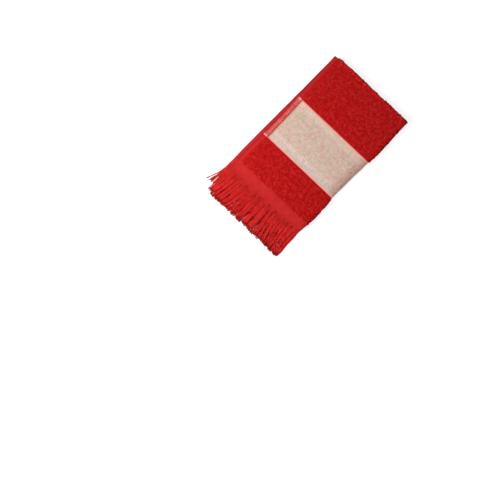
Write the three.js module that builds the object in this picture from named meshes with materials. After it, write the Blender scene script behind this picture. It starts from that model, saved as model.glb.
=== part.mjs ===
// Fringed guest towel, folded in four and lying flat. Millimetres, +Z up.
// The towel is folded across first, end to end, and then lengthwise, so four layers lie on each
// other: the two outer ones are the half with the woven band, the two inner ones the plain half.
// +X points to the lengthwise fold, +Y to the end fold, and the fringes lie at -Y.
import * as THREE from 'three';

// Flat towel
const TOWEL_WIDTH = 300;
const BODY_LENGTH = 467;
const BAND_START = 85.4;
const BAND_END = 162.2;
const HEADER_START = 216.7;
const SELVEDGE_WIDTH = 6.4;

// Cloth and the way its layers lie on each other
const TERRY_THICKNESS = 3;
const GROUND_THICKNESS = 1.2;
const LAYER_GAP = 0.5;
const PILE_EDGE = 2;
const SETTLE_RUN = 14;
const OUTER_FOLD_ROUND = 1.5;
const INNER_FOLD_ROUND = 1;
const UNDER_TUCK = 1.5;
const SELVEDGE_PULL = 1.7;
const SELVEDGE_PULL_FADE = 8;

// Gentle unevenness of the stack's upper face: its height, and the waves that make it up
const SWELL = 0.35;
const SWELL_WAVES = [
  { acrossLength: 19, alongLength: 41, phase: 0 },
  { acrossLength: -57, alongLength: 23, phase: 1.3 },
];

// Droop of the selvedge from the layer's middle: upper and under side of the folded stack
const SELVEDGE_DROOP = {
  outer: { upper: 1, under: 0.9 },
  inner: { upper: 2, under: 1.4 },
};

// Middle of the box around the folded towel, from the end fold and from the corner's edge
const MIDDLE_ALONG = 142.15;
const MIDDLE_ACROSS = 67.88;

// Plan of the folded towel, by distance from the end fold: the cloth's furthest reach at the
// lengthwise fold, and the selvedges of the outer and the inner layers
const PLAN = [
  { at: 0, fold: 147.2, outer: -1.1, inner: -1.1 },
  { at: 68, fold: 148.3, outer: -0.6, inner: -2.2 },
  { at: 90, fold: 146.4, outer: 0.9, inner: -3 },
  { at: 124, fold: 144.8, outer: 1.5, inner: -3.9 },
  { at: 160, fold: 143.9, outer: 1.4, inner: -4.8 },
  { at: 176, fold: 145.2, outer: 0.6, inner: -5.2 },
  { at: 200, fold: 145.3, outer: -0.1, inner: -5.6 },
  { at: 217, fold: 144.6, outer: 0, inner: -5.6 },
  { at: 234.5, fold: 142.8, outer: 0.4, inner: -6 },
];

// Fringe: strips that hold the strand roots, and the rows of locks
const ROOT_GAP = 0.3;
const ROOT_STRIP = 2;
const LOCK_HEIGHT = 0.9;
const LOCK_STEPS = 3;
const LOCK_TAPER = 0.6;
const LOCK_FILL = 0.7;
const BUNDLE_FILL = 0.84;
const REST_SHARE = 0.34;
const DROP_SHARE = 0.66;
const SWEEP_CURVE = 1.4;
const WANDER = 0.5;
const RAGGED = 3.2;

// One row for each layer's fringe. rest is the height of a lock's underside away from its root,
// tip the same at its end, spread the share of the sweep below, bundle the sideways flare of the
// selvedge threads. foldLocks leave the strip where it turns round the lengthwise fold.
const FRINGE_ROWS = {
  outer: {
    foldLocks: 3,
    upper: { locks: 54, length: 49, rest: 4.2, tip: 1.5, spread: 1, bundle: -4, bundleLength: 51 },
    under: { locks: 36, length: 47, rest: 0, tip: 0, spread: 0.7, bundle: -1, bundleLength: 46 },
  },
  inner: {
    foldLocks: 1,
    upper: { locks: 38, length: 33, rest: 2.8, tip: 2.8, spread: 0.8, bundle: -10, bundleLength: 35 },
    under: { locks: 32, length: 31, rest: 1.4, tip: 1.4, spread: 0.6, bundle: -5, bundleLength: 33 },
  },
};

// Sideways sweep of the fringe's locks, by their place across the folded towel
const SWEEP = [
  { at: 0, sweep: -2 },
  { at: 22, sweep: -5.5 },
  { at: 45, sweep: -7 },
  { at: 72, sweep: 0 },
  { at: 100, sweep: 4.5 },
  { at: 116, sweep: 5.2 },
  { at: 132, sweep: 3 },
  { at: 144, sweep: 0.5 },
];

// Colours and roughness of the yarns
const TERRY_RED = 0xb0171a;
const BAND_FRINGE_RED = 0xbd2220;
const PLAIN_FRINGE_RED = 0xb31e1e;
const YARN_ROUGHNESS = 0.95;

// Steps of the cloth's net along one half and across one half
const ROW_STEPS = { fold: 3, upperTerry: 5, bandEdge: 2, band: 3, lowerTerry: 4, header: 3 };
const COLUMN_STEPS = { selvedge: 2, layer: 6, fold: 4 };

// Step for the slopes of the cloth's surface, and the numbers that scatter the locks
const SLOPE_STEP = 0.02;
const SCATTER_STEP = 12.9898;
const SCATTER_CHANNEL = 78.233;
const SCATTER_SCALE = 43758.5453;

const HALF_BODY = BODY_LENGTH / 2;
const QUARTER_TURN = Math.PI / 2;

const lerp = THREE.MathUtils.lerp;
const clamp = THREE.MathUtils.clamp;

function smooth(share) {
  const x = clamp(share, 0, 1);
  return x * x * (3 - 2 * x);
}

function ramp(value, start, run) {
  return smooth((value - start) / run);
}

// Value of a table's column at a distance, passing smoothly from row to row
function sample(table, column, distance) {
  const last = table.length - 1;
  if (distance >= table[last].at) return table[last][column];
  const next = Math.max(1, table.findIndex((row) => row.at > distance));
  const low = table[next - 1];
  const high = table[next];
  return lerp(low[column], high[column], ramp(distance, low.at, high.at - low.at));
}

// Even scatter between -1 and 1 for a lock's number. Each channel scatters another quality.
function scatter(index, channel) {
  const wave = Math.sin(index * SCATTER_STEP + channel * SCATTER_CHANNEL) * SCATTER_SCALE;
  return 2 * (wave - Math.floor(wave)) - 1;
}

// Share of full pile along the cloth. run is the distance in which it falls away.
function pileAlong(along, run) {
  const distance = Math.abs(along);
  const header = ramp(distance, HEADER_START, run);
  if (along <= 0) return 1 - header;
  const band = ramp(distance, BAND_START, run) - ramp(distance, BAND_END - run, run);
  return 1 - header - band;
}

function pileAcross(fromEdge) {
  return ramp(fromEdge, SELVEDGE_WIDTH, PILE_EDGE);
}

function clothThickness(along, across) {
  const fromEdge = Math.min(across, TOWEL_WIDTH - across);
  const pile = pileAlong(along, PILE_EDGE) * pileAcross(fromEdge);
  return lerp(GROUND_THICKNESS, TERRY_THICKNESS, pile);
}

// Radii of the lengthwise fold and height of its axis, at a length of cloth from the end fold
function stackAt(length) {
  const inner = lerp(GROUND_THICKNESS, TERRY_THICKNESS, pileAlong(-length, SETTLE_RUN));
  const outer = lerp(GROUND_THICKNESS, TERRY_THICKNESS, pileAlong(length, SETTLE_RUN));
  const innerRadius = (LAYER_GAP + inner) / 2;
  const outerRadius = LAYER_GAP / 2 + inner + LAYER_GAP + outer / 2;
  return { innerRadius, outerRadius, axisHeight: outerRadius + outer / 2 };
}

const END_STACK = stackAt(0);
const END_RADIUS = (END_STACK.outerRadius - END_STACK.innerRadius) / 2;

// The layer that holds a place along the cloth. along is 0 at the end fold's crest, positive on
// the half with the band and negative on the plain half. flat is the cloth between a selvedge and
// the lengthwise fold, where the layer turns in two quarters of an ellipse.
function layerAt(along) {
  const turn = clamp(along / END_RADIUS, -QUARTER_TURN, QUARTER_TURN);
  const straight = Math.max(0, Math.abs(along) - END_RADIUS * QUARTER_TURN);
  const distance = END_RADIUS * (1 - Math.cos(turn)) + straight;
  const outerShare = (1 + Math.sin(turn)) / 2;
  const stack = stackAt(Math.abs(along));
  const radius = lerp(stack.innerRadius, stack.outerRadius, outerShare);
  const reach = radius * lerp(INNER_FOLD_ROUND, OUTER_FOLD_ROUND, outerShare);
  const edge = lerp(
    sample(PLAN, 'inner', distance),
    sample(PLAN, 'outer', distance),
    outerShare,
  );
  return {
    distance,
    outerShare,
    stack,
    radius,
    reach,
    edge,
    axis: sample(PLAN, 'fold', distance) - stack.outerRadius * OUTER_FOLD_ROUND,
    flat: TOWEL_WIDTH / 2 - (radius + reach) * Math.PI / 4,
  };
}

function selvedgeDroop(along, layer, fromEdge, side) {
  const soft = pileAlong(along, SETTLE_RUN);
  const droop = lerp(SELVEDGE_DROOP.inner[side], SELVEDGE_DROOP.outer[side], layer.outerShare);
  return droop * soft * (1 - ramp(fromEdge, 0, SELVEDGE_WIDTH));
}

function swellAt(x, y) {
  const waves = SWELL_WAVES.map((wave) => (
    Math.sin(x / wave.acrossLength + y / wave.alongLength + wave.phase)
  ));
  return SWELL * waves.reduce((sum, height) => sum + height, 0) / waves.length;
}

// Place of the cloth's middle surface. across is 0 at the upper selvedge and TOWEL_WIDTH at the
// selvedge underneath.
function clothPoint(along, across) {
  const layer = layerAt(along);
  const upper = across <= TOWEL_WIDTH / 2;
  const side = upper ? 'upper' : 'under';
  const fromEdge = upper ? across : TOWEL_WIDTH - across;
  const quarter = TOWEL_WIDTH / 2 - layer.flat;
  const angle = clamp((fromEdge - layer.flat) / quarter, 0, 1) * QUARTER_TURN;
  const edge = layer.edge + (upper ? 0 : UNDER_TUCK);
  const flatShare = Math.min(fromEdge / layer.flat, 1);
  const x = lerp(edge, layer.axis, flatShare) + layer.reach * Math.sin(angle);
  const fade = Math.exp(-layer.distance / SELVEDGE_PULL_FADE);
  const y = layer.distance + SELVEDGE_PULL * (1 - pileAcross(fromEdge)) * fade;
  const rise = (upper ? 1 : -1) * layer.radius * Math.cos(angle);
  const floorLayer = layer.stack.axisHeight - layer.stack.outerRadius;
  const level = layer.stack.axisHeight + rise;
  const height = (level - floorLayer) / (2 * layer.stack.outerRadius);
  const z = level + height * swellAt(x, y) - selvedgeDroop(along, layer, fromEdge, side);
  return new THREE.Vector3(x - MIDDLE_ACROSS, MIDDLE_ALONG - y, z);
}

function clothNormal(along, across) {
  const behind = clothPoint(along - SLOPE_STEP, across);
  const ahead = clothPoint(along + SLOPE_STEP, across);
  const left = clothPoint(along, Math.max(across - SLOPE_STEP, 0));
  const right = clothPoint(along, Math.min(across + SLOPE_STEP, TOWEL_WIDTH));
  return ahead.sub(behind).cross(right.sub(left)).normalize();
}

// Values from the first to the last, in equal steps, without the first
function steps(from, to, count) {
  return Array.from({ length: count }, (_, i) => lerp(from, to, (i + 1) / count));
}

// Places across one row of the cloth: selvedge, flat layer, lengthwise fold, and back
function acrossStations(along) {
  const flat = layerAt(along).flat;
  const pileStart = SELVEDGE_WIDTH + PILE_EDGE;
  const half = [
    0,
    ...steps(0, SELVEDGE_WIDTH, COLUMN_STEPS.selvedge),
    pileStart,
    ...steps(pileStart, flat, COLUMN_STEPS.layer),
    ...steps(flat, TOWEL_WIDTH / 2, COLUMN_STEPS.fold),
  ];
  const back = half.slice(0, -1).reverse().map((across) => TOWEL_WIDTH - across);
  return [...half, ...back];
}

// Places along one half of the cloth, from the end fold's crest to the fringe's root. Both
// halves share them, so that the layers lie on each other row by row, apart from the steps where
// the pile falls away at the band.
function alongStations(banded) {
  const foldEnd = END_RADIUS * QUARTER_TURN;
  const settledIn = BAND_START + SETTLE_RUN;
  const settledOut = BAND_END - SETTLE_RUN;
  const thinIn = BAND_START + PILE_EDGE;
  const thinOut = BAND_END - PILE_EDGE;
  const headerIn = HEADER_START + PILE_EDGE;
  const all = [
    ...steps(0, foldEnd, ROW_STEPS.fold),
    ...steps(foldEnd, BAND_START, ROW_STEPS.upperTerry),
    thinIn,
    ...steps(thinIn, settledIn, ROW_STEPS.bandEdge),
    ...steps(settledIn, settledOut, ROW_STEPS.band),
    ...steps(settledOut, thinOut, ROW_STEPS.bandEdge),
    ...steps(thinOut, BAND_END, 1),
    ...steps(BAND_END, HEADER_START, ROW_STEPS.lowerTerry),
    headerIn,
    ...steps(headerIn, HEADER_START + SETTLE_RUN, ROW_STEPS.header),
    HALF_BODY,
  ];
  return banded ? all : all.filter((along) => along !== thinIn && along !== thinOut);
}

// Points and faces of one closed skin. A flipped skin turns each face the other way.
class Skin {
  constructor(flipped = false) {
    this.flipped = flipped;
    this.points = [];
    this.faces = [];
  }

  // Corners on the two sides of the cloth at one place
  addPair(middle, toFace) {
    this.points.push(middle.clone().add(toFace), middle.clone().sub(toFace));
    return { face: this.points.length - 2, back: this.points.length - 1 };
  }

  quad(a, b, c, d) {
    const corners = this.flipped ? [a, d, c, b] : [a, b, c, d];
    this.faces.push(corners[0], corners[1], corners[2], corners[0], corners[2], corners[3]);
  }

  // Both sides of a stretch of cloth: here and next are rows of pairs
  stretch(here, next) {
    for (let j = 0; j < here.length - 1; j += 1) {
      this.quad(here[j].face, next[j].face, next[j + 1].face, here[j + 1].face);
      this.quad(here[j].back, here[j + 1].back, next[j + 1].back, next[j].back);
    }
    const last = here.length - 1;
    this.quad(here[0].face, here[0].back, next[0].back, next[0].face);
    this.quad(here[last].face, next[last].face, next[last].back, here[last].back);
  }

  startRim(a, b) {
    this.quad(a.face, b.face, b.back, a.back);
  }

  endRim(a, b) {
    this.quad(a.face, a.back, b.back, b.face);
  }

  geometry() {
    const geometry = new THREE.BufferGeometry().setFromPoints(this.points);
    geometry.setIndex(this.faces);
    return geometry;
  }
}

// Row of pairs of the cloth's corners at one place along it
function clothRow(skin, along, stations) {
  return stations.map((across) => {
    const half = clothThickness(along, across) / 2;
    return skin.addPair(clothPoint(along, across), clothNormal(along, across).multiplyScalar(half));
  });
}

function eachNeighbour(row, action) {
  row.slice(0, -1).forEach((pair, j) => action(pair, row[j + 1], j));
}

// The whole cloth, back and forth through its folds
function clothGeometry() {
  const skin = new Skin();
  const plain = alongStations(false).map((along) => -along).reverse();
  const places = [...plain, 0, ...alongStations(true)];
  const rows = places.map((along) => clothRow(skin, along, acrossStations(along)));
  rows.slice(0, -1).forEach((row, i) => skin.stretch(row, rows[i + 1]));
  eachNeighbour(rows[0], (a, b) => skin.startRim(a, b));
  eachNeighbour(rows[rows.length - 1], (a, b) => skin.endRim(a, b));
  return skin.geometry();
}

// Lock that leaves the strip between two distances from the selvedge
function spanOf(middle, width, lock) {
  return { from: middle - width / 2, to: middle + width / 2, lock };
}

// Locks of one layer's fringe from its selvedge to the fold, with the wide bundle of the
// selvedge's own threads first
function rowSpans(row, flat, upper) {
  const pitch = (flat - SELVEDGE_WIDTH) / row.locks;
  const bundle = { ...row, length: row.bundleLength, sweep: row.bundle, seed: 0, upper };
  const spans = [spanOf(SELVEDGE_WIDTH / 2, SELVEDGE_WIDTH * BUNDLE_FILL, bundle)];
  for (let i = 0; i < row.locks; i += 1) {
    const seed = (i + 1) * row.locks;
    const length = row.length + RAGGED * (scatter(seed, 0) - 1) / 2;
    const middle = SELVEDGE_WIDTH + (i + 0.5) * pitch;
    spans.push(spanOf(middle, pitch * LOCK_FILL, { ...row, length, seed, upper }));
  }
  return spans;
}

// Locks that leave the strip where it turns round the lengthwise fold
function foldSpans(rows, flat) {
  const pitch = 2 * (TOWEL_WIDTH / 2 - flat) / rows.foldLocks;
  return Array.from({ length: rows.foldLocks }, (_, i) => {
    const share = (i + 0.5) / rows.foldLocks;
    const lock = {
      length: lerp(rows.upper.length, rows.under.length, share) - RAGGED / 2,
      rest: lerp(rows.upper.rest, rows.under.rest, share),
      tip: lerp(rows.upper.tip, rows.under.tip, share),
      sweep: 0,
      seed: i,
      upper: share <= 0.5,
    };
    return spanOf(flat + (i + 0.5) * pitch, pitch * LOCK_FILL, lock);
  });
}

function mirrored(span) {
  return { ...span, from: TOWEL_WIDTH - span.to, to: TOWEL_WIDTH - span.from };
}

// Middle of a lock at a share of its length, with its sweep, drop and wander
function lockPoint(root, lock, share) {
  const phase = scatter(lock.seed, 1) * Math.PI;
  const wander = WANDER * share * Math.sin(share * Math.PI + phase);
  const sweep = lock.sweep ?? lock.spread * sample(SWEEP, 'sweep', root.x + MIDDLE_ACROSS);
  const half = LOCK_HEIGHT * lerp(1, LOCK_TAPER, share) / 2;
  const rest = lerp(root.z, lock.rest + half, ramp(share, 0, REST_SHARE));
  const z = lerp(rest, lock.tip + half, ramp(share, DROP_SHARE, 1 - DROP_SHARE));
  return new THREE.Vector3(
    root.x + sweep * share ** SWEEP_CURVE + wander,
    root.y - share * lock.length,
    z,
  );
}

// Lock of four sides that grows from the strip's far rim between two of its pairs
function growLock(skin, direction, span, left, right) {
  const along = direction * (HALF_BODY + ROOT_GAP + ROOT_STRIP);
  const root = clothPoint(along, (span.from + span.to) / 2);
  const faceUp = span.lock.upper === (direction > 0) ? 1 : -1;
  const sideways = span.lock.upper ? 1 : -1;
  let here = [left, right];
  for (let i = 1; i <= LOCK_STEPS; i += 1) {
    const share = i / LOCK_STEPS;
    const size = lerp(1, LOCK_TAPER, share);
    const middle = lockPoint(root, span.lock, share);
    const toFace = new THREE.Vector3(0, 0, faceUp * LOCK_HEIGHT * size / 2);
    const toRight = new THREE.Vector3(sideways * (span.to - span.from) * size / 2, 0, 0);
    const next = [
      skin.addPair(middle.clone().sub(toRight), toFace),
      skin.addPair(middle.clone().add(toRight), toFace),
    ];
    skin.stretch(here, next);
    here = next;
  }
  skin.endRim(here[0], here[1]);
}

// Fringe of one end of the towel: a strip just past the cloth's edge, and its locks
function fringeGeometry(layerName) {
  const direction = layerName === 'outer' ? 1 : -1;
  const near = direction * (HALF_BODY + ROOT_GAP);
  const far = near + direction * ROOT_STRIP;
  const rows = FRINGE_ROWS[layerName];
  const { flat } = layerAt(far);
  const spans = [
    ...rowSpans(rows.upper, flat, true),
    ...foldSpans(rows, flat),
    ...rowSpans(rows.under, flat, false).map(mirrored).reverse(),
  ];
  const stations = [0, ...spans.flatMap((span) => [span.from, span.to]), TOWEL_WIDTH];
  const skin = new Skin(direction < 0);
  const nearRow = clothRow(skin, near, stations);
  const farRow = clothRow(skin, far, stations);
  skin.stretch(nearRow, farRow);
  eachNeighbour(nearRow, (a, b) => skin.startRim(a, b));
  eachNeighbour(farRow, (a, b, j) => {
    const between = j % 2 === 0;
    if (between) skin.endRim(a, b);
    else growLock(skin, direction, spans[(j - 1) / 2], a, b);
  });
  return skin.geometry();
}

function makeMesh(name, geometry, color) {
  const material = new THREE.MeshStandardMaterial({ color, roughness: YARN_ROUGHNESS });
  const mesh = new THREE.Mesh(geometry, material);
  mesh.name = name;
  return mesh;
}

const group = new THREE.Group();
group.add(makeMesh('towel_cloth', clothGeometry(), TERRY_RED));
group.add(makeMesh('band_end_fringe', fringeGeometry('outer'), BAND_FRINGE_RED));
group.add(makeMesh('plain_end_fringe', fringeGeometry('inner'), PLAIN_FRINGE_RED));

export default group;
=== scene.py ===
"""Looks of a fringed guest towel, folded in four and lying flat.

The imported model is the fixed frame, and every piece here follows the same fold rules as its
solids. Meshes are in metres, +Z up, with the lengthwise fold at +X, the end fold at +Y and the
fringes at -Y. Places on the cloth are in millimetres: along it from the end fold's crest, positive
on the half with the band, and across it from the upper selvedge.
"""

import logging
import math
from dataclasses import dataclass, replace
from enum import Enum
from typing import Any, Callable, Mapping, Optional, Sequence, Union

import bpy
import numpy as np
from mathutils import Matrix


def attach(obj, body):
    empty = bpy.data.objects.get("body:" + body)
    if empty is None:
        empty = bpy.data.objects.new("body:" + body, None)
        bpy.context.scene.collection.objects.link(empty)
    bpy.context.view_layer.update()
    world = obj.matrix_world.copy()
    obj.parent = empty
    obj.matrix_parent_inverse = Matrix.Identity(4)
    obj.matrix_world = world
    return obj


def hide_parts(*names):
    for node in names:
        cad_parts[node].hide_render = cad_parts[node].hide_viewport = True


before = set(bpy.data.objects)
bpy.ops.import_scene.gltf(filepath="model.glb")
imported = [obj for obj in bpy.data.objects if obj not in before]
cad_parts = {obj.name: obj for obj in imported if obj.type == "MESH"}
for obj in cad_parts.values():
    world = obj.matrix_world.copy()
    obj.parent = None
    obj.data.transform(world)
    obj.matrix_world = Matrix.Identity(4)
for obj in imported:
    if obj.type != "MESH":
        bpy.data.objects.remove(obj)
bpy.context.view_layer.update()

LOG = logging.getLogger("towel")
MM = 0.001
BODY = "root"
FLOOR_NAME = "floor"
FLAT_MAP = "flat_mm"
SCATTER_STEP = 12.9898
SCATTER_CHANNEL = 78.233
SCATTER_SCALE = 43758.5453

Array = np.ndarray
Colour = tuple[float, float, float, float]
Term = Union["Wire", float, Sequence[float]]


class Half(Enum):
    """Half of the towel, by the sign of its places along the cloth."""

    BAND = 1
    PLAIN = -1


class Weave(Enum):
    """Kind of weave, by its place among the cloth's materials."""

    TERRY = 0
    CANVAS = 1
    FLAT = 2


def srgb(red: float, green: float, blue: float) -> Colour:
    """Turns screen values from 0 to 255 into a linear colour.

    Args:
        red: Screen value of red.
        green: Screen value of green.
        blue: Screen value of blue.

    Returns:
        Linear red, green, blue and an alpha of 1.
    """

    def linear(value: float) -> float:
        """Undoes the screen's tone curve for one value."""
        share = value / 255
        return share / 12.92 if share <= 0.04045 else ((share + 0.055) / 1.055) ** 2.4

    return linear(red), linear(green), linear(blue), 1.0


def ramp(value: Any, start: float, run: float) -> Any:
    """Smooth step from 0 at start to 1 after run."""
    share = np.clip((value - start) / run, 0, 1)
    return share * share * (3 - 2 * share)


def lerp(low: Any, high: Any, share: Any) -> Any:
    """Value at a share of the way from low to high."""
    return low + (high - low) * share


def between_rows(rows: Sequence[Any], column: str, place: Any) -> Any:
    """Column of a table at places between its rows, passing smoothly from row to row.

    Args:
        rows: The table, in order of its rows' own places.
        column: Name of the column.
        place: Where the table is read.

    Returns:
        The column's values there.
    """
    at = np.array([row.at for row in rows])
    values = np.array([getattr(row, column) for row in rows])
    following = np.clip(np.searchsorted(at, place, side="right"), 1, len(at) - 1)
    low, high = at[following - 1], at[following]
    return lerp(values[following - 1], values[following], ramp(place, low, high - low))


def scatter(index: int, channel: int) -> float:
    """Even scatter between -1 and 1 for a lock's number, another one for each channel."""
    wave = math.sin(index * SCATTER_STEP + channel * SCATTER_CHANNEL) * SCATTER_SCALE
    return 2 * (wave - math.floor(wave)) - 1


def stretch(start: float, end: float, step: float) -> Array:
    """Places from start up to, but without, end."""
    count = max(1, math.ceil((end - start) / step))
    return np.linspace(start, end, count, endpoint=False)


def net_places(*knots: tuple[float, float]) -> Array:
    """Places along one side of a net, closer together where its knots say so.

    Args:
        knots: Places, each with the step that follows it.

    Returns:
        Places from the first knot to the last.
    """
    spans = zip(knots, knots[1:])
    parts = [stretch(start, end, step) for (start, step), (end, _) in spans]
    return np.append(np.concatenate(parts), knots[-1][0])


def unit(vectors: Array) -> Array:
    """Vectors of length 1 in the same directions."""
    return vectors / np.linalg.norm(vectors, axis=-1, keepdims=True)


def joined(operation: str, swapped: bool = False) -> Callable[["Wire", Term], "Wire"]:
    """Makes a method that adds a maths node for a wire and another term.

    Args:
        operation: The node's operation.
        swapped: Whether the other term goes in first.

    Returns:
        The method.
    """

    def operator(self: "Wire", other: Term) -> "Wire":
        """Adds the node with its two terms."""
        return self.work(operation, *((other, self) if swapped else (self, other)))

    return operator


class Wire:
    """Output of a node. Its operators add the nodes of an expression."""

    def __init__(self, graph: "Graph", socket: bpy.types.NodeSocket) -> None:
        """Wraps a socket of the graph."""
        self.graph = graph
        self.socket = socket

    @property
    def is_vector(self) -> bool:
        """Whether the output holds three numbers."""
        return self.socket.type in {"VECTOR", "RGBA"}

    def work(self, operation: str, *terms: Term) -> "Wire":
        """Adds a Math node, or a Vector Math node where a term is a vector.

        Args:
            operation: The node's operation.
            terms: What goes into the node, in order.

        Returns:
            The node's result.
        """
        vector = any(
            term.is_vector if isinstance(term, Wire) else isinstance(term, tuple)
            for term in terms
        )
        if vector:
            terms = tuple((t,) * 3 if isinstance(t, (int, float)) else t for t in terms)
        kind = "ShaderNodeVectorMath" if vector else "ShaderNodeMath"
        return self.graph.node(kind, {"operation": operation}, dict(enumerate(terms)))[0]

    __add__ = __radd__ = joined("ADD")
    __sub__ = joined("SUBTRACT")
    __rsub__ = joined("SUBTRACT", swapped=True)
    __mul__ = __rmul__ = joined("MULTIPLY")
    __truediv__ = joined("DIVIDE")
    __pow__ = joined("POWER")
    at_least = joined("MAXIMUM")
    at_most = joined("MINIMUM")

    def sine(self) -> "Wire":
        """Sine of an angle in radians."""
        return self.work("SINE", self)

    def cosine(self) -> "Wire":
        """Cosine of an angle in radians."""
        return self.work("COSINE", self)

    def size(self) -> "Wire":
        """Value without its sign."""
        return self.work("ABSOLUTE", self)

    def part(self, axis: str) -> "Wire":
        """One of a vector's parts, X, Y or Z."""
        return self.graph.node("ShaderNodeSeparateXYZ", values={0: self})[axis]

    def step(self, low: Term, high: Term) -> "Wire":
        """Smooth step from 0 at low to 1 at high.

        Args:
            low: Value where the step begins.
            high: Value where it ends.

        Returns:
            The step's height, from 0 to 1.
        """
        values = {"Value": self, "From Min": low, "From Max": high}
        settings = {"interpolation_type": "SMOOTHSTEP"}
        return self.graph.node("ShaderNodeMapRange", settings, values)[0]

    def within(self, low: float, high: float, soft: float) -> "Wire":
        """1 between two values and 0 outside them."""
        half = soft / 2
        return self.step(low - half, low + half) * (1 - self.step(high - half, high + half))


class Node:
    """Node whose enabled outputs are read by name or number."""

    def __init__(self, graph: "Graph", made: bpy.types.Node) -> None:
        """Wraps a node of the graph."""
        self.graph = graph
        self.made = made

    def __getitem__(self, key: Union[str, int]) -> Wire:
        """Output with that name or number."""
        return Wire(self.graph, pick(self.made.outputs, key))


def pick(sockets: Any, key: Union[str, int]) -> bpy.types.NodeSocket:
    """Enabled socket with a name or number.

    Args:
        sockets: A node's inputs or outputs.
        key: Name, or number among the enabled ones.

    Returns:
        The socket.
    """
    usable = [socket for socket in sockets if socket.enabled]
    if isinstance(key, int):
        return usable[key]
    return next(socket for socket in usable if socket.name == key)


class Graph:
    """Node tree, for shading or for geometry, that is written as expressions."""

    def __init__(self, tree: bpy.types.NodeTree) -> None:
        """Wraps a node tree."""
        self.tree = tree

    def node(
        self,
        kind: str,
        settings: Optional[Mapping[str, Any]] = None,
        values: Optional[Mapping[Union[str, int], Any]] = None,
    ) -> Node:
        """Adds one node.

        Args:
            kind: The node's type.
            settings: Its properties, which are set first.
            values: Numbers, wires or lists of wires for its inputs, by name or number.

        Returns:
            The node.
        """
        made = self.tree.nodes.new(kind)
        for name, value in (settings or {}).items():
            setattr(made, name, value)
        for key, value in (values or {}).items():
            socket = pick(made.inputs, key)
            if isinstance(value, (Wire, list)):
                for wire in value if isinstance(value, list) else [value]:
                    self.tree.links.new(wire.socket, socket)
            else:
                socket.default_value = value
        return Node(self, made)

    def blend(self, share: Term, low: Any, high: Any) -> Wire:
        """Colour between two colours."""
        values = {"Factor": share, "A": low, "B": high}
        return self.node("ShaderNodeMix", {"data_type": "RGBA"}, values)[0]

    def noise(self, place: Wire, scale: float, detail: float = 2.0) -> Wire:
        """Soft noise from 0 to 1."""
        values = {"Vector": place, "Scale": scale, "Detail": detail}
        return self.node("ShaderNodeTexNoise", values=values)["Fac"]

    def trait(self, name: str, output: str) -> Wire:
        """Attribute of the mesh that a shader reads, as a Vector or a Fac."""
        return self.node("ShaderNodeAttribute", {"attribute_name": name})[output]

    def vector(self, x: Term, y: Term, z: Term) -> Wire:
        """Vector from three parts."""
        return self.node("ShaderNodeCombineXYZ", values={0: x, 1: y, 2: z})[0]


@dataclass(frozen=True)
class Finish:
    """Matt cloth finish. Each kind of finish paints its own colour and relief."""

    name: str
    roughness: float = 0.95
    sheen: float = 0.1
    sheen_tint: Colour = srgb(225, 60, 60)
    sheen_spread: float = 0.6
    gloss: float = 0.05
    glow: float = 0.0
    relief: float = 0.2

    def paint(self, graph: Graph) -> tuple[Wire, Wire]:
        """Colour of the surface and height of its relief in units of the finish's relief."""
        raise NotImplementedError

    def build(self) -> bpy.types.Material:
        """Makes the material.

        Returns:
            Material whose colour and bump come from paint.
        """
        material = bpy.data.materials.new(self.name)
        material.use_nodes = True
        material.node_tree.nodes.clear()
        graph = Graph(material.node_tree)
        colour, height = self.paint(graph)
        values = {"Strength": 1.0, "Distance": self.relief * MM, "Height": height}
        bump = graph.node("ShaderNodeBump", values=values)[0]
        skin = {
            "Base Color": colour,
            "Roughness": self.roughness,
            "Sheen Weight": self.sheen,
            "Sheen Roughness": self.sheen_spread,
            "Sheen Tint": self.sheen_tint,
            "Specular IOR Level": self.gloss,
            "Emission Strength": self.glow,
            "Normal": bump,
        }
        surface = graph.node("ShaderNodeBsdfPrincipled", values=skin)[0]
        graph.node("ShaderNodeOutputMaterial", values={"Surface": surface})
        return material


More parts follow.
